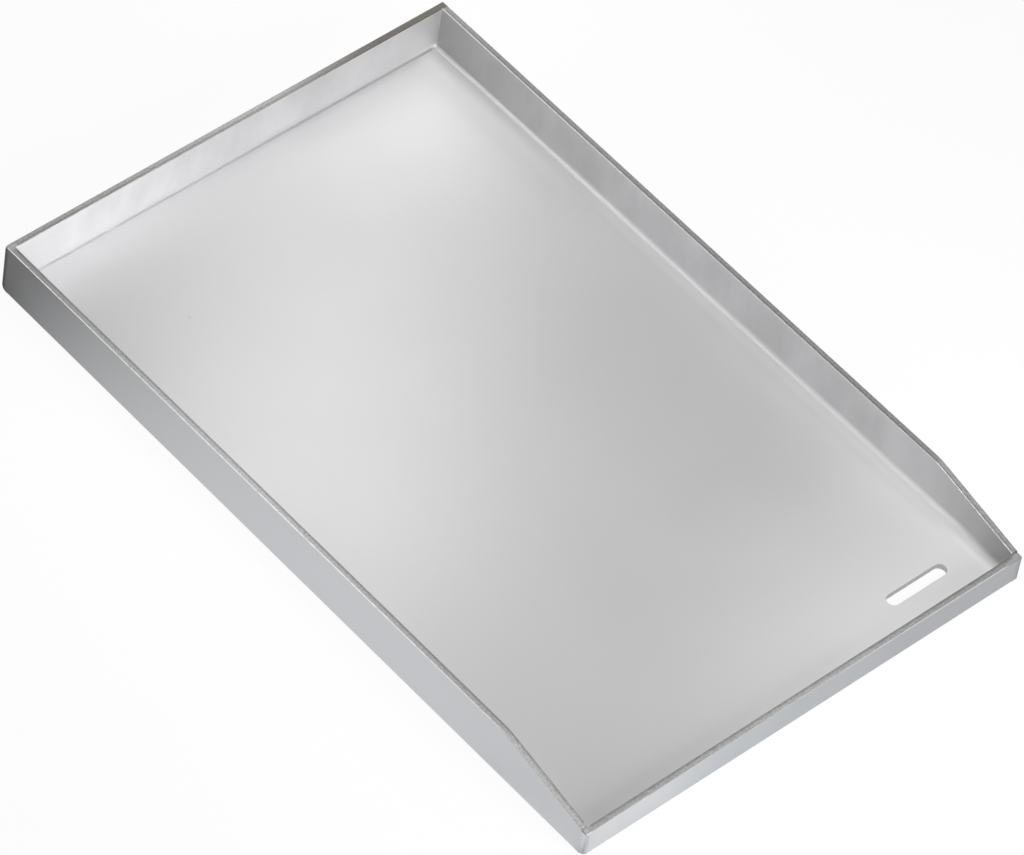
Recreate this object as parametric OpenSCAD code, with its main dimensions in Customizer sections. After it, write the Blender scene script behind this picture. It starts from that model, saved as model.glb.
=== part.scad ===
// Camp griddle plate: one heavy stainless sheet, folded up tightly on all four sides.
// Three sides are full height. The side walls slope down to a low front lip, and the
// four corners are welded shut and ground flush. Grease leaves by a slot near the front.
// Millimetres, +Z up, +Y to the back, origin under the middle of the floor.

/* [Plate] */
// Length over the outside of the back wall and the front lip
plate_length = 475; // [300:1:700]
// Width over the outside of the two side walls
plate_width = 312; // [200:1:500]
// Height of the back wall and of the side walls
wall_height = 34.5; // [24:0.5:90]
// Height of the front lip
lip_height = 18.5; // [12:0.5:30]

/* [Sheet] */
// Thickness of the sheet
sheet = 4; // [2:0.5:6]
// Inside radius of the folds between the floor and the walls
fold_radius = 2; // [1:0.5:8]
// Radius left on the outside of those folds
edge_radius = 1; // [0.5:0.25:2]

/* [Slope] */
// Distance from the front face back to where the side walls reach full height
slope_run = 67; // [30:1:200]
// Height by which a side wall's end still stands above the front lip
slope_step = 0.8; // [0.2:0.1:3]

/* [Drain slot] */
// Length of the slot from end to end
slot_length = 42; // [20:1:70]
// Width of the slot, which is also the diameter of its round ends
slot_width = 8; // [5:0.5:16]
// Distance from the outside of the right wall to the middle of the slot
slot_from_side = 49.5; // [40:0.5:150]
// Distance from the front face to the middle of the slot
slot_from_front = 27; // [18:0.5:120]

/* [Corner welds] */
// Radius ground onto the upright edge of each corner
corner_radius = 1.5; // [0.5:0.25:3]
// Width of flat weld left on each side of that radius
weld_land = 2.5; // [0.5:0.25:4]

/* [Hidden] */
$fn = 64;

sheet_colour = "silver";
weld_colour = "lightsteelblue";

// How far a fold reaches in from the outside of its wall
fold_reach = fold_radius + sheet;
// Distance from a corner at which the weld gives way to the sheet
seam = corner_radius + weld_land;
// Extra length that lets a cutting shape pass through a face
past = 1;

half_w = plate_width / 2;
half_l = plate_length / 2;

// Outline of a pan cut through the middle, with its two lower corners rounded
module pan_section(run, radius, base, top) {
    translate([-run / 2, base + radius]) square([run, top - base - radius]);
    translate([-run / 2 + radius, base]) square([run - 2 * radius, top - base]);
    for (side = [-1, 1])
        translate([side * (run / 2 - radius), base + radius]) circle(r = radius);
}

// Upper edge of the plate seen from the side: lip, step, slope and full height
module side_outline() {
    polygon([
        [-half_l, 0],
        [half_l, 0],
        [half_l, wall_height],
        [slope_run - half_l, wall_height],
        [sheet - half_l, lip_height + slope_step],
        [sheet - half_l, lip_height],
        [-half_l, lip_height]
    ]);
}

module along_x(length) {
    rotate([90, 0, 90]) linear_extrude(length, center = true) children();
}

module along_y(length) {
    rotate([90, 0, 0]) linear_extrude(length, center = true) children();
}

// Outside of the folded sheet as a solid block
module outer_block() {
    intersection() {
        along_y(plate_length + 2 * past) pan_section(plate_width, edge_radius, 0, wall_height);
        along_x(plate_width + 2 * past) intersection() {
            pan_section(plate_length, edge_radius, 0, wall_height);
            side_outline();
        }
    }
}

// Space inside the folded sheet, open at the top
module inner_space() {
    inner_w = plate_width - 2 * sheet;
    inner_l = plate_length - 2 * sheet;
    top = wall_height + past;
    intersection() {
        along_y(plate_length) pan_section(inner_w, fold_radius, sheet, top);
        along_x(plate_width) pan_section(inner_l, fold_radius, sheet, top);
    }
}

module folded_sheet() {
    difference() {
        outer_block();
        inner_space();
    }
}

// The part of the folded sheet that stands over an outline on the floor
module piece_over() {
    intersection() {
        folded_sheet();
        translate([0, 0, -past]) linear_extrude(wall_height + 2 * past) children();
    }
}

// Outline of a wall and its fold, with both ends cut along the corner seams.
// The wall is on the left of the outline, and reach is half its length.
module wall_outline(face, reach) {
    polygon([
        [-face, seam - reach],
        [-face, reach - seam],
        [fold_reach - face, reach - fold_reach - seam],
        [fold_reach - face, fold_reach + seam - reach]
    ]);
}

// Outline of the weld in the back left corner, up to the flat floor
module weld_outline() {
    translate([-half_w, half_l]) difference() {
        polygon([
            [0, 0],
            [seam, 0],
            [fold_reach + seam, -fold_reach],
            [fold_reach, -fold_reach],
            [fold_reach, -fold_reach - seam],
            [0, -seam]
        ]);
        difference() {
            translate([0, -corner_radius]) square(corner_radius);
            translate([corner_radius, -corner_radius]) circle(r = corner_radius);
        }
    }
}

module drain_slot() {
    straight = slot_length - slot_width;
    translate([half_w - slot_from_side, slot_from_front - half_l, -past])
        linear_extrude(sheet + 2 * past) {
            square([straight, slot_width], center = true);
            for (end = [-1, 1])
                translate([end * straight / 2, 0]) circle(d = slot_width);
        }
}

module floor_plate() {
    floor_size = [plate_width - 2 * fold_reach, plate_length - 2 * fold_reach];
    color(sheet_colour) difference() {
        piece_over() square(floor_size, center = true);
        drain_slot();
    }
}

module back_wall() {
    color(sheet_colour) piece_over() rotate(-90) wall_outline(half_l, half_w);
}

module left_wall() {
    color(sheet_colour) piece_over() wall_outline(half_w, half_l);
}

module right_wall() {
    color(sheet_colour) piece_over() mirror([1, 0]) wall_outline(half_w, half_l);
}

module front_lip() {
    color(sheet_colour) piece_over() rotate(90) wall_outline(half_l, half_w);
}

module back_left_weld() {
    color(weld_colour) piece_over() weld_outline();
}

module back_right_weld() {
    color(weld_colour) piece_over() mirror([1, 0]) weld_outline();
}

module front_left_weld() {
    color(weld_colour) piece_over() mirror([0, 1]) weld_outline();
}

module front_right_weld() {
    color(weld_colour) piece_over() rotate(180) weld_outline();
}

floor_plate();
back_wall();
left_wall();
right_wall();
front_lip();
back_left_weld();
back_right_weld();
front_left_weld();
front_right_weld();
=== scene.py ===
import bmesh
import bpy
from math import cos, pi, radians, sin
from mathutils import Matrix, Vector


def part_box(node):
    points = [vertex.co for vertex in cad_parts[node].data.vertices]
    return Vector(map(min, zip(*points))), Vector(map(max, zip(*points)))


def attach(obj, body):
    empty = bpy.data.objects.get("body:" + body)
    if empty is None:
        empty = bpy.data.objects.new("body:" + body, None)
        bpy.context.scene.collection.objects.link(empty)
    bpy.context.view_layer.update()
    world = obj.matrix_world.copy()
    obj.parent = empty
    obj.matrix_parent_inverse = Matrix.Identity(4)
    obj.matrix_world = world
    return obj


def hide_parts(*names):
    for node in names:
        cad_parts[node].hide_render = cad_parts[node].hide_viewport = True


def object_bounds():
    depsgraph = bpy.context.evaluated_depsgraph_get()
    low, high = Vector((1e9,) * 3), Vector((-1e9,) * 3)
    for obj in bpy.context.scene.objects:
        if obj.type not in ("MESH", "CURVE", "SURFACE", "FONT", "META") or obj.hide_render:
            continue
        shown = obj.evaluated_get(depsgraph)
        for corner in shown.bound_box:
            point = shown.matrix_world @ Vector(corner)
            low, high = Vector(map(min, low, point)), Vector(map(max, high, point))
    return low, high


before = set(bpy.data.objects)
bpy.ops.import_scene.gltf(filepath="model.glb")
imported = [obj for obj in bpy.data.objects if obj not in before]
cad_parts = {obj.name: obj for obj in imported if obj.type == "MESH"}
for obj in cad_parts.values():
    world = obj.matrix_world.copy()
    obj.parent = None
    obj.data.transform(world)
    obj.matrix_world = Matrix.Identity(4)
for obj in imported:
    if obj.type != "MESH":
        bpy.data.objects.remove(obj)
cadLow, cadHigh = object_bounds()
print("frame loaded:", len(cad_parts), "nodes")

mm = 0.001
near = 0.001 * mm        # two points this close are the same

# sizes that every piece shares, all read from the frame
floorLow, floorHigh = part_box("floor_plate")
plate = {
    "halfWidth": cadHigh.x,
    "halfLength": cadHigh.y,
    "wallHeight": cadHigh.z,
    "lipHeight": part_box("front_lip")[1].z,
    "sheet": floorHigh.z,
    "foldReach": cadHigh.x - floorHigh.x,            # how far a fold reaches in from the outside
    "seam": cadHigh.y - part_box("left_wall")[1].y,    # where a corner weld gives way to the sheet
}
rim = {"round": 0.45 * mm, "segments": 3}            # rounding along both edges of every rim
noiseRange = (0.3, 0.7)                              # nearly all of a noise's values lie in here


# shader helpers
def addNode(tree, kind, inputs=None, **settings):
    node = tree.nodes.new(kind)
    for name, value in settings.items():
        setattr(node, name, value)
    for name, value in (inputs or {}).items():
        if isinstance(value, bpy.types.NodeSocket):
            tree.links.new(value, node.inputs[name])
        else:
            node.inputs[name].default_value = value
    return node


def doMath(tree, operation, first, second=0.0, third=0.0):
    node = addNode(tree, "ShaderNodeMath", {0: first, 1: second, 2: third}, operation=operation)
    return node.outputs[0]


def times(tree, first, *others):
    for other in others:
        first = doMath(tree, "MULTIPLY", first, other)
    return first


def distance(tree, first, second):
    return doMath(tree, "ABSOLUTE", doMath(tree, "SUBTRACT", first, second))


def remap(tree, value, low, high, toLow, toHigh, way="SMOOTHSTEP"):
    ends = {"Value": value, "From Min": low, "From Max": high, "To Min": toLow, "To Max": toHigh}
    return addNode(tree, "ShaderNodeMapRange", ends, interpolation_type=way).outputs["Result"]


def remapLine(tree, value, low, high, toLow, toHigh):
    return remap(tree, value, low, high, toLow, toHigh, "LINEAR")


def noise(tree, vector, scale, detail=2.0, roughness=0.5):
    settings = {"Vector": vector, "Scale": scale, "Detail": detail, "Roughness": roughness}
    return addNode(tree, "ShaderNodeTexNoise", settings).outputs["Fac"]


def stretchedNoise(tree, vector, scale, detail=2.0, roughness=0.5):
    stretched = addNode(tree, "ShaderNodeMapping", {"Vector": vector, "Scale": scale}).outputs["Vector"]
    return noise(tree, stretched, 1.0, detail, roughness)


def objectSpot(tree):
    return tree.nodes.new("ShaderNodeTexCoord").outputs["Object"]


def splitSpot(tree, spot):
    return addNode(tree, "ShaderNodeSeparateXYZ", {0: spot}).outputs


# round spots scattered by chance: how far a point is from its spot's middle, and a number for each spot
def scatter(tree, spot, scale):
    cells = addNode(tree, "ShaderNodeTexVoronoi", {"Vector": spot, "Scale": scale}).outputs
    pick = addNode(tree, "ShaderNodeSeparateColor", {0: cells["Color"]}).outputs["Red"]
    return cells["Distance"], pick


def blend(tree, mask, first, second):
    return addNode(tree, "ShaderNodeMix", {0: mask, 6: first, 7: second}, data_type="RGBA").outputs[2]


def mixNumber(tree, mask, first, second):
    return addNode(tree, "ShaderNodeMix", {0: mask, 2: first, 3: second}).outputs[0]


def tint(tree, colour, tone):
    return addNode(tree, "ShaderNodeVectorMath", {0: colour, 1: tone}, operation="MULTIPLY").outputs[0]


def spotDistance(tree, spot, point):
    node = addNode(tree, "ShaderNodeVectorMath", {0: spot, 1: tuple(point)}, operation="DISTANCE")
    return node.outputs["Value"]


def newGroup(name, inputs, outputs):
    group = bpy.data.node_groups.new(name, "ShaderNodeTree")
    for label, value in inputs.items():
        socket = group.interface.new_socket(label, in_out="INPUT", socket_type="NodeSocketFloat")
        socket.default_value = value
    for label in outputs:
        group.interface.new_socket(label, in_out="OUTPUT", socket_type="NodeSocketFloat")
    return group, group.nodes.new("NodeGroupInput").outputs, group.nodes.new("NodeGroupOutput").inputs


def useGroup(tree, group, inputs=None):
    return addNode(tree, "ShaderNodeGroup", inputs, node_tree=group).outputs


# distances that the masks below read; "inside" is 1 within the walls
def plateDistances(group):
    spot = objectSpot(group)
    parts = splitSpot(group, spot)
    at = {"spot": spot, "x": parts["X"], "y": parts["Y"], "z": parts["Z"]}
    at["fromSide"] = doMath(group, "SUBTRACT", plate["halfWidth"], doMath(group, "ABSOLUTE", at["x"]))
    at["fromEnd"] = doMath(group, "SUBTRACT", plate["halfLength"], doMath(group, "ABSOLUTE", at["y"]))
    at["fromLeft"] = doMath(group, "ADD", at["x"], plate["halfWidth"])
    at["fromRight"] = doMath(group, "SUBTRACT", plate["halfWidth"], at["x"])
    at["fromFront"] = doMath(group, "ADD", at["y"], plate["halfLength"])
    at["fromBack"] = doMath(group, "SUBTRACT", plate["halfLength"], at["y"])
    at["fromOutside"] = doMath(group, "MINIMUM", at["fromSide"], at["fromEnd"])
    at["fromSeam"] = distance(group, at["fromSide"], at["fromEnd"])
    at["inside"] = doMath(group, "GREATER_THAN", at["fromOutside"], plate["sheet"] - near)
    return at


# painted shade: a dark line along the back fold, fainter at its left end
backFoldShade = {"middle": -0.2 * mm, "full": 0.1 * mm, "gone": 1.9 * mm, "ends": 20 * mm, "faint": 0.5,
          "stop": 3 * mm}


def backFoldShadeMask(group, at):
    reach = plate["foldReach"]
    turn = distance(group, doMath(group, "SUBTRACT", at["fromBack"], at["z"]), backFoldShade["middle"])
    line = remap(group, turn, backFoldShade["full"], backFoldShade["gone"], 1.0, 0.0)
    ends = remap(group, at["fromLeft"], reach, reach + backFoldShade["ends"], backFoldShade["faint"], 1.0)
    stop = remap(group, at["fromRight"], plate["sheet"], reach + backFoldShade["stop"], 0.0, 1.0)
    inFold = doMath(group, "LESS_THAN", at["fromBack"], reach)
    return times(group, line, ends, stop, inFold, at["inside"])


# painted shade on the right wall towards its back end, and on its inside and its fold towards its front end
rightWallShade = {"full": 10 * mm, "gone": 180 * mm, "frontFull": 3 * mm, "frontGone": 52 * mm, "front": 0.8}


def rightBackShadeMask(group, at):
    onRight = doMath(group, "GREATER_THAN", at["x"], plate["halfWidth"] - plate["sheet"] - near)
    return times(group, onRight, remap(group, at["fromBack"], rightWallShade["full"], rightWallShade["gone"], 1.0, 0.0))


def rightFrontShadeMask(group, at):
    along = remap(group, at["fromFront"], rightWallShade["frontFull"], rightWallShade["frontGone"], rightWallShade["front"], 0.0)
    beside = remap(group, at["fromRight"], plate["sheet"], plate["foldReach"], 1.0, 0.0)
    return times(group, along, beside, at["inside"])


# painted highlight along the right fold, most at the front and more widely near the back corner
foldHighlight = {"full": 1.5 * mm, "aside": 8 * mm, "up": 2.5 * mm, "most": 60 * mm, "least": 200 * mm,
              "rest": 0.6}
cornerHighlight = {"full": 5 * mm, "gone": 18 * mm, "backFull": 60 * mm, "backGone": 190 * mm, "most": 0.5}


def foldHighlightMask(group, at):
    reach = plate["foldReach"]
    low = remap(group, at["z"], reach, reach + foldHighlight["up"], 1.0, 0.0)
    line = remap(group, at["fromRight"], reach + foldHighlight["full"], reach + foldHighlight["aside"], 1.0, 0.0)
    share = remap(group, at["fromFront"], foldHighlight["most"], foldHighlight["least"], 1.0, foldHighlight["rest"])
    corner = remap(group, at["fromRight"], reach + cornerHighlight["full"], reach + cornerHighlight["gone"], 1.0, 0.0)
    back = remap(group, at["fromBack"], cornerHighlight["backFull"], cornerHighlight["backGone"],
                 cornerHighlight["most"], 0.0)
    widest = doMath(group, "MAXIMUM", times(group, line, low, share), times(group, corner, low, back))
    above = doMath(group, "GREATER_THAN", at["z"], plate["sheet"] - near)
    return times(group, widest, above, at["inside"])


# painted light and shade inside the walls: the back wall painted lighter and the right wall painted darker
# at the foot, with smudges of random tone
wallShade = {"back": (0.055, -0.03), "right": (-0.045, 0.06), "start": 3.5 * mm, "near": 6 * mm,
             "clear": 40 * mm, "smudges": (24.0, 24.0, 10.0), "smudged": (-0.075, 0.075),
             "detail": 4.0, "roughness": 0.6}


def wallShadeTone(group, at):
    reach = plate["foldReach"]
    rise = remapLine(group, at["z"], reach, plate["wallHeight"], 0.0, 1.0)
    onBack = doMath(group, "LESS_THAN", at["fromBack"], reach)
    onRight = doMath(group, "LESS_THAN", at["fromRight"], reach)
    shade = times(group, onBack, remapLine(group, rise, 0.0, 1.0, *wallShade["back"]))
    rightShade = remapLine(group, rise, 0.0, 1.0, *wallShade["right"])
    shade = doMath(group, "MULTIPLY_ADD", onRight, rightShade, shade)
    smudges = stretchedNoise(group, at["spot"], wallShade["smudges"], wallShade["detail"],
                             wallShade["roughness"])
    shade = doMath(group, "ADD", shade, remap(group, smudges, *noiseRange, *wallShade["smudged"]))
    upright = remap(group, at["z"], reach, reach + wallShade["start"], 0.0, 1.0)
    clear = remap(group, at["fromSeam"], wallShade["near"], wallShade["clear"], 0.0, 1.0)
    return doMath(group, "MULTIPLY_ADD", times(group, upright, clear, at["inside"]), shade, 1.0)


# painted shadow at the foot of each nose's step: two dark spots joined by a fainter line, also dented a
# little in the bump
pits = {"fromEnd": 4.3 * mm, "middle": 2.0 * mm, "apart": 1.4 * mm, "full": 0.25 * mm, "gone": 0.6 * mm,
        "between": 0.7}


def noseStepShadowMask(group, at):
    aside = distance(group, distance(group, at["fromSide"], pits["middle"]), pits["apart"])
    before = distance(group, at["fromEnd"], pits["fromEnd"])
    pit = remap(group, aside, pits["full"], pits["gone"], 1.0, pits["between"])
    line = remap(group, before, pits["full"], pits["gone"], 1.0, 0.0)
    return times(group, pit, line, doMath(group, "LESS_THAN", at["y"], 0.0))


def makePlatePlace():
    labels = ["FromOutside", "FromSeam", "BackFoldShade", "RightBackShade", "RightFrontShade", "FoldHighlight", "WallShade",
              "NoseStepShadow"]
    group, _, out = newGroup("platePlace", {}, labels)
    at = plateDistances(group)
    group.links.new(at["fromOutside"], out["FromOutside"])
    group.links.new(at["fromSeam"], out["FromSeam"])
    group.links.new(backFoldShadeMask(group, at), out["BackFoldShade"])
    group.links.new(rightBackShadeMask(group, at), out["RightBackShade"])
    group.links.new(rightFrontShadeMask(group, at), out["RightFrontShade"])
    group.links.new(foldHighlightMask(group, at), out["FoldHighlight"])
    group.links.new(wallShadeTone(group, at), out["WallShade"])
    group.links.new(noseStepShadowMask(group, at), out["NoseStepShadow"])
    return group


# rolled satin sheet: fine even grain, slow drift in gloss, and a few handling specks
grain = {"fine": (2600.0, 3.0, 0.6), "rolled": (900.0, 60.0, 900.0), "rolledShare": 0.4,
         "drift": (9.0, 6.0, 0.65), "specks": 34.0, "speckChance": 0.72, "speckSize": 0.05}


def makeSatinGrain():
    group, into, out = newGroup("satinGrain", {"Specks": 0.5}, ["Height", "Drift", "Specks"])
    spot = objectSpot(group)
    fine = noise(group, spot, *grain["fine"])
    rolled = stretchedNoise(group, spot, grain["rolled"])
    fromMiddle, pick = scatter(group, spot, grain["specks"])
    size = remap(group, pick, grain["speckChance"], 1.0, 0.0, grain["speckSize"])
    specks = doMath(group, "LESS_THAN", fromMiddle, size)
    group.links.new(doMath(group, "MULTIPLY_ADD", rolled, grain["rolledShare"], fine), out["Height"])
    group.links.new(noise(group, spot, *grain["drift"]), out["Drift"])
    group.links.new(times(group, specks, into["Specks"]), out["Specks"])
    return group


# ground weld: outside only, 1 on the seam and 0 where the sheet begins, with fine scratches and a few pits
grind = {"scratches": (180.0, 180.0, 2400.0), "detail": 3.0, "pits": 420.0, "pitChance": 0.8,
         "pitSize": 0.17, "pitEdge": (-0.08, 0.04), "full": 1.2 * mm}


def makeGroundMarks():
    inputs = {"FromSeam": 0.0, "FromOutside": 0.0, "Pits": 1.0}
    group, into, out = newGroup("groundMarks", inputs, ["Ground", "Scratches", "Pits"])
    spot = objectSpot(group)
    outside = doMath(group, "LESS_THAN", into["FromOutside"], plate["sheet"] - near)
    onSeam = remap(group, into["FromSeam"], grind["full"], plate["seam"], 1.0, 0.0)
    dressed = times(group, onSeam, outside)
    fromMiddle, pick = scatter(group, spot, grind["pits"])
    size = remap(group, pick, grind["pitChance"], 1.0, 0.0, grind["pitSize"])
    holes = remap(group, doMath(group, "SUBTRACT", fromMiddle, size), *grind["pitEdge"], 1.0, 0.0)
    group.links.new(dressed, out["Ground"])
    group.links.new(stretchedNoise(group, spot, grind["scratches"], grind["detail"]), out["Scratches"])
    group.links.new(times(group, holes, dressed, into["Pits"]), out["Pits"])
    return group


platePlace = makePlatePlace()
satinGrain = makeSatinGrain()
groundMarks = makeGroundMarks()


def newMaterial(name):
    material = bpy.data.materials.new(name)
    material.use_nodes = True
    tree = material.node_tree
    return material, tree, tree.nodes["Principled BSDF"]


def useMarks(tree, place, **shares):
    inputs = {"FromSeam": place["FromSeam"], "FromOutside": place["FromOutside"]}
    return useGroup(tree, groundMarks, {**inputs, **shares})


def finishSteel(tree, steel, colour, rough, height, depth):
    bump = addNode(tree, "ShaderNodeBump", {"Height": height, "Strength": 1.0, "Distance": depth})
    steel.inputs["Metallic"].default_value = 1.0
    tree.links.new(colour, steel.inputs["Base Color"])
    tree.links.new(rough, steel.inputs["Roughness"])
    tree.links.new(bump.outputs["Normal"], steel.inputs["Normal"])


# pale, dull and speck are the steel's own tones; the other colours are painted highlight and painted shade
# for the fold and wall masks
satin = {"pale": (0.735, 0.735, 0.742, 1), "dull": (0.70, 0.70, 0.707, 1), "speck": (0.62, 0.62, 0.63, 1),
         "backFoldShade": (0.37, 0.375, 0.37, 1), "rightWallShade": (0.54, 0.535, 0.53, 1),
         "rightFrontShadeColour": (0.40, 0.40, 0.405, 1), "rubbingAndSheen": (0.88, 0.88, 0.885, 1),
         "rough": (0.56, 0.62), "grainDepth": 0.004 * mm}


# painted highlight along the right fold, then painted shade in the back fold and on the right wall
def foldHighlightAndShade(tree, place, colour):
    colour = blend(tree, place["FoldHighlight"], colour, satin["rubbingAndSheen"])
    colour = blend(tree, place["BackFoldShade"], colour, satin["backFoldShade"])
    colour = blend(tree, place["RightBackShade"], colour, satin["rightWallShade"])
    return blend(tree, place["RightFrontShade"], colour, satin["rightFrontShadeColour"])


def makeSatinSteel():
    material, tree, steel = newMaterial("satinSteel")
    look = useGroup(tree, satinGrain)
    place = useGroup(tree, platePlace)
    colour = blend(tree, look["Drift"], satin["dull"], satin["pale"])
    colour = blend(tree, look["Specks"], colour, satin["speck"])
    # painted highlight and painted shade from the fold masks, then painted light and shade on the walls
    colour = tint(tree, foldHighlightAndShade(tree, place, colour), place["WallShade"])
    rough = remap(tree, look["Drift"], *noiseRange, *satin["rough"])
    finishSteel(tree, steel, colour, rough, look["Height"], satin["grainDepth"])
    return material


ground = {"colour": (0.78, 0.78, 0.785, 1), "pit": (0.24, 0.23, 0.22, 1), "pits": 0.8, "pitDepth": 3.0,
          "grainShare": 0.3, "rough": 0.45, "depth": 0.012 * mm}


def makeGroundWeld():
    material, tree, steel = newMaterial("groundWeld")
    place = useGroup(tree, platePlace)
    look = useGroup(tree, satinGrain, {"Specks": 0.0})
    marks = useMarks(tree, place, Pits=ground["pits"])
    sheet = blend(tree, look["Drift"], satin["dull"], satin["pale"])
    colour = blend(tree, marks["Ground"], sheet, ground["colour"])
    # the same painted highlight and painted shade on the welds
    colour = foldHighlightAndShade(tree, place, colour)
    colour = blend(tree, marks["Pits"], colour, ground["pit"])
    sheetRough = remap(tree, look["Drift"], *noiseRange, *satin["rough"])
    rough = mixNumber(tree, marks["Ground"], sheetRough, ground["rough"])
    scratched = times(tree, marks["Scratches"], marks["Ground"])
    height = doMath(tree, "MULTIPLY_ADD", look["Height"], ground["grainShare"], scratched)
    height = doMath(tree, "SUBTRACT", height, times(tree, marks["Pits"], ground["pitDepth"]))
    finishSteel(tree, steel, colour, rough, height, ground["depth"])
    return material


# cut edge of the sheet: a pale sheared zone outside, a dull torn zone inside and the ground corners,
# with a painted dark reflection near the back right corner and painted light and shade along the edges
cut = {"outer": (0.52, 0.515, 0.51, 1), "inner": (0.38, 0.375, 0.37, 1), "ground": (0.60, 0.60, 0.605, 1),
       "backRightShade": (0.17, 0.159, 0.147, 1), "backRightShadeReach": (145 * mm, 40 * mm), "rightRimShadeShare": 0.45,
       "slot": (0.52, 0.52, 0.525, 1), "tone": (1.0, 0.92), "backRimLight": 1.15,
       "frontRightShadeLevel": 0.72, "frontRightShadeReach": (40 * mm, 190 * mm), "rough": (0.55, 0.68),
       "turn": 2.5 * mm, "soft": 0.5 * mm, "waver": 1.6 * mm, "wander": 260.0, "wanderMiddle": 0.5,
       "mottle": (900.0, 3.0, 0.65), "shade": (0.76, 1.22), "depth": 0.03 * mm}


def makeCutEdge():
    material, tree, steel = newMaterial("cutEdge")
    place = useGroup(tree, platePlace)
    marks = useMarks(tree, place)
    spot = objectSpot(tree)
    parts = splitSpot(tree, spot)
    mottle = noise(tree, spot, *cut["mottle"])
    waver = doMath(tree, "SUBTRACT", noise(tree, spot, cut["wander"]), cut["wanderMiddle"])
    depth = doMath(tree, "MULTIPLY_ADD", waver, cut["waver"], place["FromOutside"])
    inner = remap(tree, depth, cut["turn"] - cut["soft"], cut["turn"] + cut["soft"], 0.0, 1.0)
    colour = blend(tree, inner, cut["outer"], cut["inner"])
    colour = blend(tree, marks["Ground"], colour, cut["ground"])
    onBack = doMath(tree, "GREATER_THAN", parts["Y"], plate["halfLength"] - plate["sheet"] - rim["round"])
    # painted dark reflection near the back right corner, full on the back edge and weaker on the right edge
    backRightShade = remap(tree, spotDistance(tree, spot, cadHigh), *cut["backRightShadeReach"], 0.0, 1.0)
    backRightShade = times(tree, backRightShade, remapLine(tree, onBack, 0.0, 1.0, cut["rightRimShadeShare"], 1.0))
    colour = blend(tree, backRightShade, colour, cut["backRightShade"])
    slot = doMath(tree, "GREATER_THAN", place["FromOutside"], plate["foldReach"])
    colour = blend(tree, slot, colour, cut["slot"])
    # dark pits of the weld, and the painted shadow at the foot of each nose's step
    holes = doMath(tree, "MAXIMUM", marks["Pits"], place["NoseStepShadow"])
    colour = blend(tree, holes, colour, ground["pit"])
    # painted light and shade: the edges lighter along the back and darker towards the right
    across = remapLine(tree, parts["X"], -plate["halfWidth"], plate["halfWidth"], *cut["tone"])
    back = remapLine(tree, onBack, 0.0, 1.0, 1.0, cut["backRimLight"])
    # painted shade: the edges darker towards the front right corner
    frontRight = (plate["halfWidth"], -plate["halfLength"], plate["lipHeight"])
    frontRightShade = remap(tree, spotDistance(tree, spot, frontRight), *cut["frontRightShadeReach"], cut["frontRightShadeLevel"], 1.0)
    tone = mixNumber(tree, slot, times(tree, across, back, frontRightShade), 1.0)
    shade = times(tree, remap(tree, mottle, *noiseRange, *cut["shade"]), tone)
    rough = remap(tree, mottle, *noiseRange, *cut["rough"])
    height = doMath(tree, "SUBTRACT", mottle, holes)
    finishSteel(tree, steel, tint(tree, colour, shade), rough, height, cut["depth"])
    return material


# edges that hands and the polishing belt wore smooth in patches, also painted bright as a highlight line,
# most on the left and least on the lip
rubbingAndSheen = {"bright": (0.90, 0.90, 0.905, 1), "dull": (0.60, 0.60, 0.605, 1), "rough": (0.58, 0.30),
          "patches": (320.0, 3.0, 0.6), "patchRange": (0.25, 0.55), "patchShare": (0.3, 1.0),
          "right": 0.5, "lip": 0.3, "lipEdgeShade": (0.45, 1.0), "depth": 0.004 * mm}


def makeRubbedEdgeAndSheen():
    material, tree, steel = newMaterial("rubbedEdgeAndSheen")
    look = useGroup(tree, satinGrain, {"Specks": 0.0})
    spot = objectSpot(tree)
    parts = splitSpot(tree, spot)
    sides = (-plate["halfWidth"], plate["halfWidth"])
    patches = noise(tree, spot, *rubbingAndSheen["patches"])
    patches = remap(tree, patches, *rubbingAndSheen["patchRange"], *rubbingAndSheen["patchShare"])
    share = remapLine(tree, parts["X"], *sides, 1.0, rubbingAndSheen["right"])
    onLip = doMath(tree, "LESS_THAN", parts["Y"], plate["sheet"] - plate["halfLength"])
    lipShare = remapLine(tree, onLip, 0.0, 1.0, 1.0, rubbingAndSheen["lip"])
    polish = times(tree, patches, times(tree, share, lipShare))
    colour = blend(tree, polish, rubbingAndSheen["dull"], rubbingAndSheen["bright"])
    # painted shade: the lip's highlight line darker towards the left
    tone = remapLine(tree, parts["X"], *sides, *rubbingAndSheen["lipEdgeShade"])
    colour = tint(tree, colour, mixNumber(tree, onLip, 1.0, tone))
    rough = remapLine(tree, polish, 0.0, 1.0, *rubbingAndSheen["rough"])
    finishSteel(tree, steel, colour, rough, look["Height"], rubbingAndSheen["depth"])
    return material


# the lip's right corner, ground a little lower than the rest
lowCorner = {"pale": (0.43, 0.43, 0.435, 1), "dull": (0.36, 0.36, 0.365, 1), "rough": (0.6, 0.5),
             "patches": (700.0, 3.0, 0.6), "depth": 0.012 * mm}


def makeGroundCorner():
    material, tree, steel = newMaterial("groundCorner")
    marks = useMarks(tree, useGroup(tree, platePlace))
    patches = noise(tree, objectSpot(tree), *lowCorner["patches"])
    colour = blend(tree, patches, lowCorner["dull"], lowCorner["pale"])
    rough = remap(tree, patches, *noiseRange, *lowCorner["rough"])
    finishSteel(tree, steel, colour, rough, marks["Scratches"], lowCorner["depth"])
    return material


satinSteel = makeSatinSteel()
groundWeld = makeGroundWeld()
cutEdge = makeCutEdge()
rubbedEdgeAndSheen = makeRubbedEdgeAndSheen()
groundCorner = makeGroundCorner()
plain, edge, bright, low = range(4)                  # material places on every wall and weld
print("materials made:", len(bpy.data.materials))


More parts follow.
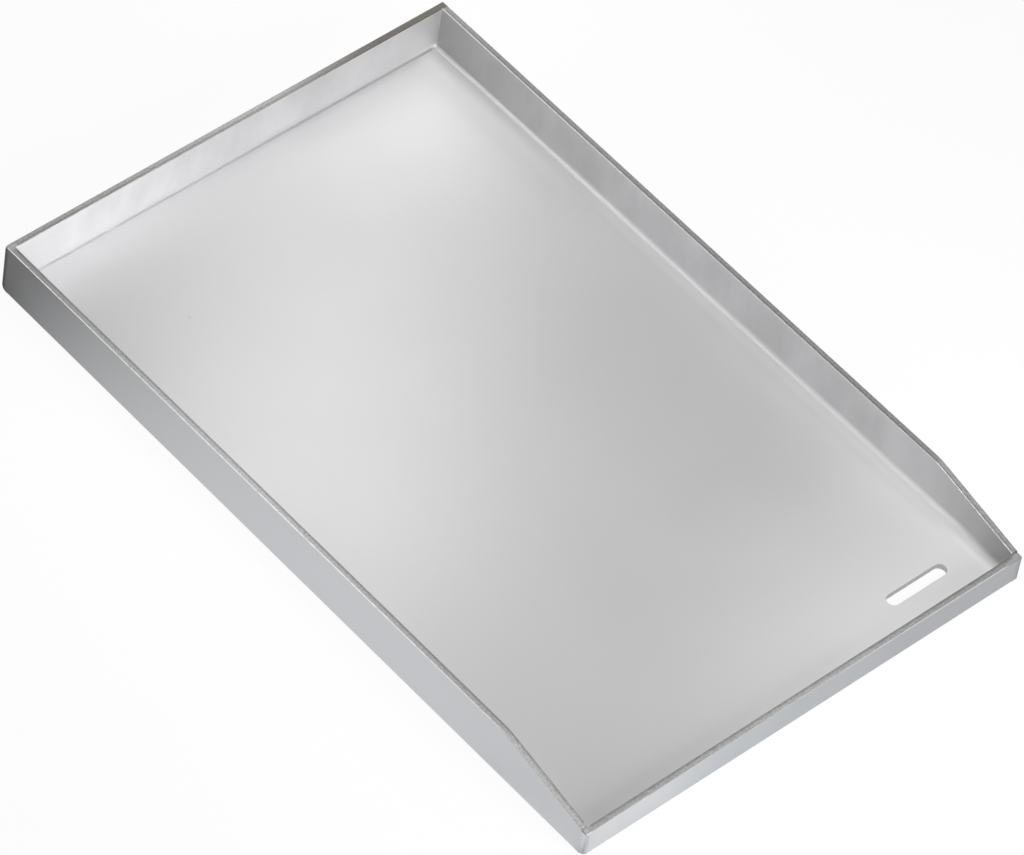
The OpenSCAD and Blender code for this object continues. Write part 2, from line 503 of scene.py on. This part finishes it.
# mesh helpers; a face counts as flat or upright by how far its normal points up
limits = {"flat": 0.9, "upright": 0.1, "sharp": radians(40), "creased": radians(8), "level": radians(0.5),
          "cut": 0.0001 * mm}


def wholeOf(bm):
    return bm.verts[:] + bm.edges[:] + bm.faces[:]


def roundEdges(bm, edges, radius, segments):
    return bmesh.ops.bevel(bm, geom=edges, offset=radius, offset_type="OFFSET", segments=segments,
                           profile=0.5, affect="EDGES", material=-1, clamp_overlap=True, loop_slide=True)


def cutOff(bm, point, direction, close=True, material=plain):
    done = bmesh.ops.bisect_plane(bm, geom=wholeOf(bm), plane_co=point,
                                  plane_no=Vector(direction).normalized(),
                                  clear_outer=True, dist=limits["cut"])
    if close:
        loop = [item for item in done["geom_cut"] if isinstance(item, bmesh.types.BMEdge)]
        bmesh.ops.edgeloop_fill(bm, edges=loop, mat_nr=material)


def extrude(bm, faces, along):
    grown = bmesh.ops.extrude_face_region(bm, geom=faces)["geom"]
    moved = [item for item in grown if isinstance(item, bmesh.types.BMVert)]
    bmesh.ops.translate(bm, verts=moved, vec=along)


def finishPiece(bm, node, materials):
    name = node + "Piece"
    bmesh.ops.recalc_face_normals(bm, faces=bm.faces[:])
    for face in bm.faces:
        face.smooth = True
    for side in bm.edges:
        side.smooth = side.is_manifold and side.calc_face_angle(0.0) < limits["sharp"]
    shape = bpy.data.meshes.new(name)
    bm.to_mesh(shape)
    bm.free()
    for material in materials:
        shape.materials.append(material)
    piece = bpy.data.objects.new(name, shape)
    bpy.context.scene.collection.objects.link(piece)
    weighted = piece.modifiers.new("flatFaces", "WEIGHTED_NORMAL")
    weighted.keep_sharp = True
    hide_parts(node)
    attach(piece, "root")
    return piece


# the folded sheet: a wall with its fold, lying along x with its outside face at y = 0
fold = {"edgeRound": 1.0 * mm, "land": 0.1 * mm, "insideSegments": 10, "edgeSegments": 6}
walls = {
    "front_lip": {"turn": 0, "slopeSide": 0, "bright": "outer"},
    "right_wall": {"turn": 90, "slopeSide": -1, "bright": "inner"},
    "back_wall": {"turn": 180, "slopeSide": 0, "bright": None},
    "left_wall": {"turn": -90, "slopeSide": 1, "bright": "outer"},
}
slope = {"run": 67 * mm, "step": 0.8 * mm, "bend": 4 * mm, "bendSegments": 6}
slope["fall"] = (plate["wallHeight"] - plate["lipHeight"] - slope["step"]) / (slope["run"] - plate["sheet"])


def foldedStrip(start, end, height):
    reach = plate["foldReach"]
    sheet = plate["sheet"]
    bm = bmesh.new()
    outline = [(0, 0), (reach, 0), (reach, sheet), (sheet, sheet), (sheet, height), (0, height)]
    section = bm.faces.new([bm.verts.new((start, y, z)) for y, z in outline])
    extrude(bm, [section], (end - start, 0, 0))
    bmesh.ops.recalc_face_normals(bm, faces=bm.faces[:])
    bend = Vector((sheet, sheet))
    inside = [side for side in bm.edges if all((v.co.yz - bend).length < near for v in side.verts)]
    roundEdges(bm, inside, reach - sheet - fold["land"], fold["insideSegments"])
    return bm


def depthOf(face, inCorner):
    middle = face.calc_center_median()
    return min(middle.x, middle.y) if inCorner else middle.y


def roundBottom(bm, inCorner=False):
    edges = []
    for side in bm.edges:
        under = [face for face in side.link_faces if face.normal.z < -limits["flat"]]
        upright = [face for face in side.link_faces if abs(face.normal.z) < limits["upright"]]
        if len(under) == 1 and len(upright) == 1 and depthOf(upright[0], inCorner) < plate["sheet"] / 2:
            edges.append(side)
    roundEdges(bm, edges, fold["edgeRound"], fold["edgeSegments"])


# the cut edge along the top: its own look, with one edge smoothed and painted bright as a highlight line on
# the side walls and the lip
def dressRim(bm, inCorner=False, brightSide=None):
    flat = [face for face in bm.faces if face.normal.z > limits["flat"]]
    tops = [face for face in flat if face.calc_center_median().z > plate["foldReach"]]
    edges = [side for side in bm.edges if sum(face in tops for face in side.link_faces) == 1]
    for face in tops:
        face.material_index = edge
    for face in roundEdges(bm, edges, rim["round"], rim["segments"])["faces"]:
        middle = face.calc_center_median()
        side = "outer" if depthOf(face, inCorner) < plate["sheet"] / 2 else "inner"
        onSide = not inCorner or middle.y > middle.x
        face.material_index = bright if side == brightSide and onSide else edge


# the lip's top edge is ground away towards the right corner, in planes that meet where the grinding starts
grindAway = {"start": 17 * mm, "inward": 4.2 * mm, "down": 0.9 * mm, "planes": 3}


def grindCorner(bm, corner, along):
    apex = Vector((corner + along * grindAway["start"], 0, plate["lipHeight"]))
    inward = Vector((0, grindAway["inward"], 0))
    down = Vector((0, 0, -grindAway["down"]))
    for step in range(1, grindAway["planes"] + 1):
        turn = radians(90 * step / (grindAway["planes"] + 1))
        touch = Vector((corner, 0, plate["lipHeight"])) + inward * (1 - sin(turn)) + down * (1 - cos(turn))
        lean = (down * sin(turn) - inward * cos(turn)).cross(apex - touch)
        cutOff(bm, apex, lean if lean.z > 0 else -lean, material=low)


def makeWall(name, shape):
    halfRun, depth = plate["halfWidth"], plate["halfLength"]
    if shape["slopeSide"]:
        halfRun, depth = depth, halfRun
    bm = foldedStrip(-halfRun, halfRun, plate["lipHeight"] if name == "front_lip" else plate["wallHeight"])
    roundBottom(bm)
    if shape["slopeSide"]:
        top = Vector((shape["slopeSide"] * (halfRun - slope["run"]), 0, plate["wallHeight"]))
        cutOff(bm, top, (shape["slopeSide"] * slope["fall"], 0, 1))
        ridge = [side for side in bm.edges if all((v.co.xz - top.xz).length < near for v in side.verts)]
        roundEdges(bm, ridge, slope["bend"], slope["bendSegments"])
    dressRim(bm, brightSide=shape["bright"])
    if name == "front_lip":
        grindCorner(bm, halfRun, -1)
    for side in (-1, 1):
        cutOff(bm, (side * (halfRun - plate["seam"]), 0, 0), (side, 1, 0))
    place = Matrix.Rotation(radians(shape["turn"]), 4, "Z") @ Matrix.Translation((0, -depth, 0))
    bmesh.ops.transform(bm, matrix=place, verts=bm.verts[:])
    return finishPiece(bm, name, [satinSteel, cutEdge, rubbedEdgeAndSheen, groundCorner])


for wallName, wallShape in walls.items():
    makeWall(wallName, wallShape)
print("walls made:", ", ".join(walls))


# the floor with its drain slot
drain = {"length": 42 * mm, "width": 8 * mm, "fromSide": 49.5 * mm, "fromFront": 27 * mm, "endSteps": 24,
         "round": 0.3 * mm, "segments": 3}


def makeFloor():
    bm = bmesh.new()
    radius = drain["width"] / 2
    straight = drain["length"] - drain["width"]
    centre = Vector((plate["halfWidth"] - drain["fromSide"], drain["fromFront"] - plate["halfLength"], 0))
    chains = []
    for side in (-1, 1):
        pivot = centre + Vector((side * straight / 2, 0, 0))
        first = bm.verts.new(pivot + Vector((0, -side * radius, 0)))
        swept = bmesh.ops.spin(bm, geom=[first], cent=pivot, axis=(0, 0, 1), angle=pi,
                               steps=drain["endSteps"])
        chains.append((first, swept["geom_last"][0]))
    for (_, tail), (head, _) in zip(chains, reversed(chains)):
        bm.edges.new((tail, head))
    outline = ((floorLow.x, floorLow.y), (floorHigh.x, floorLow.y),
               (floorHigh.x, floorHigh.y), (floorLow.x, floorHigh.y))
    corners = [bm.verts.new((x, y, 0)) for x, y in outline]
    for index, corner in enumerate(corners):
        bm.edges.new((corners[index - 1], corner))
    bmesh.ops.triangle_fill(bm, use_beauty=True, use_dissolve=False, edges=bm.edges[:])
    extrude(bm, bm.faces[:], (0, 0, plate["sheet"]))
    bmesh.ops.recalc_face_normals(bm, faces=bm.faces[:])
    inside = [face for face in bm.faces if abs(face.normal.z) < limits["upright"]
              and (face.calc_center_median() - centre).length < drain["length"]]
    for face in inside:
        face.material_index = edge
    edges = [side for side in bm.edges if sum(face in inside for face in side.link_faces) == 1]
    roundEdges(bm, edges, drain["round"], drain["segments"])
    return finishPiece(bm, "floor_plate", [satinSteel, cutEdge])


makeFloor()
print("floor made")


# corner welds: two mitred lengths of the folded section, joined and ground round;
# each corner's two numbers say which way the plate lies from it, along x and along y
weld = {"outsideRound": 0.6 * mm, "outsideSegments": 5, "insideRound": 0.4 * mm, "insideSegments": 2,
        "arm": 20 * mm, "noseGap": 0.1 * mm, "ramp": 0.4 * mm, "tipRound": 2.2 * mm, "topRound": 1.2 * mm,
        "tipLeans": ((1, 1, 1), (2, 2, 1), (2, 1, 2), (1, 2, 2))}
weldCorners = {
    "front_left_weld": (1, 1),
    "front_right_weld": (-1, 1),
    "back_left_weld": (1, -1),
    "back_right_weld": (-1, -1),
}


def creaseEdges(bm, convex):
    edges = []
    for side in bm.edges:
        onSeam = all(abs(v.co.x - v.co.y) < near for v in side.verts)
        if onSeam and len(side.link_faces) == 2 and abs(side.calc_face_angle(0.0)) > limits["creased"]:
            if side.is_convex == convex:
                edges.append(side)
    return edges


# the end of the sloping side, which still stands a step above the lip
def raiseNose(bm):
    start = plate["sheet"] + weld["noseGap"]
    end = start + weld["ramp"]
    under = plate["lipHeight"] - rim["round"]
    for y in (start, end):
        bmesh.ops.bisect_plane(bm, geom=wholeOf(bm), plane_co=(0, y, 0), plane_no=(0, 1, 0), dist=near)
    for vert in bm.verts:
        if vert.co.z > under - near and vert.co.y > end - near:
            vert.co.z += slope["step"] + (vert.co.y - plate["sheet"]) * slope["fall"]
    bm.normal_update()
    for face in bm.faces:
        middle = face.calc_center_median()
        if middle.z > under and start < middle.y < end:
            face.material_index = edge


# a corner dressed round, in planes that touch a ball
def roundTip(bm, height, upwards):
    ball = weld["topRound" if upwards > 0 else "tipRound"]
    centre = Vector((ball, ball, height - upwards * ball))
    for leanX, leanY, leanZ in weld["tipLeans"]:
        outwards = Vector((-leanX, -leanY, upwards * leanZ)).normalized()
        cutOff(bm, centre + outwards * ball, outwards, material=edge if upwards > 0 else plain)


def makeWeld(name, sides):
    front = sides[1] > 0
    seam = plate["seam"]
    bm = foldedStrip(-seam, weld["arm"], plate["lipHeight"] if front else plate["wallHeight"])
    cutOff(bm, (0, 0, 0), (-1, 1, 0), close=False)
    mitre = Matrix.Rotation(radians(45), 4, "Z")
    bmesh.ops.mirror(bm, geom=wholeOf(bm), matrix=mitre, merge_dist=near, axis="X")
    bmesh.ops.remove_doubles(bm, verts=bm.verts[:], dist=near)
    bmesh.ops.recalc_face_normals(bm, faces=bm.faces[:])
    bmesh.ops.dissolve_limit(bm, angle_limit=limits["level"], verts=bm.verts[:], edges=bm.edges[:])
    roundEdges(bm, creaseEdges(bm, True), weld["outsideRound"], weld["outsideSegments"])
    roundEdges(bm, creaseEdges(bm, False), weld["insideRound"], weld["insideSegments"])
    roundBottom(bm, inCorner=True)
    dressRim(bm, inCorner=True, brightSide="outer" if sides[0] > 0 else "inner")
    if sides[0] > 0:
        roundTip(bm, 0, -1)
    if name == "back_left_weld":
        roundTip(bm, plate["wallHeight"], 1)
    if name == "front_right_weld":
        grindCorner(bm, 0, 1)
    if front:
        raiseNose(bm)
    cutOff(bm, (seam, 0, 0), (1, -1, 0))
    cutOff(bm, (0, seam, 0), (-1, 1, 0))
    corner = Matrix.Translation((-sides[0] * plate["halfWidth"], -sides[1] * plate["halfLength"], 0))
    bmesh.ops.transform(bm, matrix=corner @ Matrix.Diagonal((sides[0], sides[1], 1, 1)), verts=bm.verts[:])
    return finishPiece(bm, name, [groundWeld, cutEdge, rubbedEdgeAndSheen, groundCorner])


for weldName, weldSides in weldCorners.items():
    makeWeld(weldName, weldSides)
print("welds made:", ", ".join(weldCorners))


# studio: white paper, nine lamps and a dim even sky
studio = {"paperSize": 12.0, "paperDrop": 0.05 * mm, "paperColour": (0.93, 0.93, 0.93, 1), "paperRough": 0.9,
          "glow": 0.92, "sky": 0.12, "white": (1, 1, 1, 1), "cool": (0.95, 0.975, 1.0, 1),
          "coolFront": (0.88, 0.94, 1.0, 1), "leftFade": (0.12, 1.0), "leftPower": 4.0,
          "leftStart": 100 * mm, "frontFade": (0.36, 0.66), "endFade": 0.28, "endReach": 100 * mm,
          "fadeEdge": 10 * mm, "sideEdge": 30 * mm}
softBoxes = {
    "frontBox": {"from": (0, -1.27, 0.59), "at": (0, 0, 0), "size": (0.8, 0.8),
                 "radiance": 8.7, "spread": 180},
    "leftBox": {"from": (-1.08, 0.74, 0.50), "at": (0, 0, 0), "size": (0.8, 0.8),
                "radiance": 2.45, "spread": 180},
    "topBox": {"from": (0.05, 0, 1.4), "at": (0, 0, 0), "size": (0.8, 0.8),
               "radiance": 1.45, "spread": 180},
    "backStrip": {"from": (0.124, 0.253, 0.318), "at": (-0.083, 0.073, 0), "size": (0.15, 0.6),
                  "radiance": 1.8, "spread": 180},
    "cornerBox": {"from": (0.20, -0.20, 0.28), "at": (0.14, -0.23, 0), "size": (0.1, 0.1),
                  "radiance": 8.4, "spread": 180},
    "farBox": {"from": (0.19, 0.26, 0.28), "at": (0.145, 0.222, 0), "size": (0.1, 0.1),
               "radiance": 0.125, "spread": 30},
    "rightStrip": {"from": (0.237, 0.079, 0.227), "at": (0.09, -0.05, 0), "size": (0.1, 0.3),
                   "radiance": 0.27, "spread": 180},
    "leftSpot": {"from": (-0.09, 0.08, 0.35), "at": (-0.1, 0.08, 0), "size": (0.1, 0.1),
                 "radiance": 0.8, "spread": 60},
    "gridBox": {"from": (-0.22, -0.75, 0.12), "at": (-0.16, 0.23, 0.02), "size": (0.2, 0.15),
                "radiance": 1.4, "spread": 25},
}


# how much of the paper's white is lost in the metal: it fades towards the back along the left wall,
# and towards both ends along the lip; the second value is 1 before the lip
def paperFade(tree):
    spot = splitSpot(tree, objectSpot(tree))
    wide, long = plate["halfWidth"], plate["halfLength"]
    margin, side = studio["fadeEdge"], studio["sideEdge"]
    beside = remap(tree, spot["X"], -wide, margin - wide, 1.0, 0.0)
    along = remapLine(tree, spot["Y"], studio["leftStart"] - long, long, 0.0, 1.0)
    along = doMath(tree, "POWER", along, studio["leftPower"])
    along = remapLine(tree, along, 0.0, 1.0, *studio["leftFade"])
    before = remap(tree, spot["Y"], -long, margin - long, 1.0, 0.0)
    before = times(tree, before, remap(tree, spot["X"], -wide - side, -wide, 0.0, 1.0))
    across = remapLine(tree, spot["X"], -wide, wide, *studio["frontFade"])
    end = remap(tree, spot["X"], -wide, studio["endReach"] - wide, studio["endFade"], 0.0)
    across = doMath(tree, "ADD", across, end)
    fade = doMath(tree, "MAXIMUM", times(tree, beside, along), times(tree, before, across))
    return fade, before


# the paper is white to the camera and in the metal, and still takes the plate's shadow
def makePaper():
    material, tree, paper = newMaterial("studioPaper")
    paper.inputs["Base Color"].default_value = studio["paperColour"]
    paper.inputs["Roughness"].default_value = studio["paperRough"]
    paper.inputs["Specular IOR Level"].default_value = 0.0
    fade, before = paperFade(tree)
    path = tree.nodes.new("ShaderNodeLightPath").outputs
    mirrored = doMath(tree, "MAXIMUM", path["Is Glossy Ray"], path["Is Transmission Ray"])
    seen = doMath(tree, "MAXIMUM", path["Is Camera Ray"], mirrored)
    level = doMath(tree, "SUBTRACT", 1.0, times(tree, mirrored, fade))
    colour = blend(tree, before, studio["cool"], studio["coolFront"])
    colour = blend(tree, mirrored, studio["white"], colour)
    white = addNode(tree, "ShaderNodeEmission", {"Color": colour, "Strength": level})
    share = times(tree, seen, studio["glow"])
    mix = addNode(tree, "ShaderNodeMixShader", {0: share, 1: paper.outputs[0], 2: white.outputs[0]})
    tree.links.new(mix.outputs[0], tree.nodes["Material Output"].inputs["Surface"])
    return material


def makeStudio():
    bm = bmesh.new()
    bmesh.ops.create_grid(bm, x_segments=1, y_segments=1, size=studio["paperSize"])
    shape = bpy.data.meshes.new("studioFloor")
    bm.to_mesh(shape)
    bm.free()
    shape.materials.append(makePaper())
    table = bpy.data.objects.new("studioFloor", shape)
    bpy.context.scene.collection.objects.link(table)
    table.location.z = cadLow.z - studio["paperDrop"]
    world = bpy.data.worlds.new("studioSky")
    world.use_nodes = True
    sky = world.node_tree.nodes["Background"]
    sky.inputs["Color"].default_value = studio["white"]
    sky.inputs["Strength"].default_value = studio["sky"]
    bpy.context.scene.world = world


def aimed(place, target):
    turn = (Vector(target) - Vector(place)).to_track_quat("-Z", "Y")
    return Matrix.Translation(place) @ turn.to_matrix().to_4x4()


def makeSoftBox(name, box):
    lamp = bpy.data.lights.new(name, "AREA")
    lamp.shape = "RECTANGLE"
    lamp.size, lamp.size_y = box["size"]
    lamp.spread = radians(box["spread"])
    lamp.energy = box["radiance"] * pi * lamp.size * lamp.size_y
    holder = bpy.data.objects.new(name, lamp)
    bpy.context.scene.collection.objects.link(holder)
    holder.matrix_world = aimed(box["from"], box["at"])
    holder.visible_camera = False


makeStudio()
for boxName, boxShape in softBoxes.items():
    makeSoftBox(boxName, boxShape)

# camera at the photograph's place
view = {"azimuth": -48.825, "elevation": 49.270, "distance": 4.07348, "target": (4.98 * mm, 0.73 * mm, 0),
        "roll": 10.015, "lens": 267.272, "sensor": 36.0}


def makeCamera():
    camera = bpy.data.cameras.new("photoCamera")
    camera.lens = view["lens"]
    camera.sensor_width = view["sensor"]
    camera.sensor_fit = "HORIZONTAL"
    holder = bpy.data.objects.new("photoCamera", camera)
    bpy.context.scene.collection.objects.link(holder)
    turn = radians(view["azimuth"])
    lift = radians(view["elevation"])
    place = view["distance"] * Vector((cos(lift) * sin(turn), -cos(lift) * cos(turn), sin(lift)))
    roll = Matrix.Rotation(radians(view["roll"]), 4, "Z")
    holder.matrix_world = aimed(place, view["target"]) @ roll
    bpy.context.scene.camera = holder


makeCamera()
bpy.context.scene.view_settings.view_transform = "Standard"
print("studio and camera set")
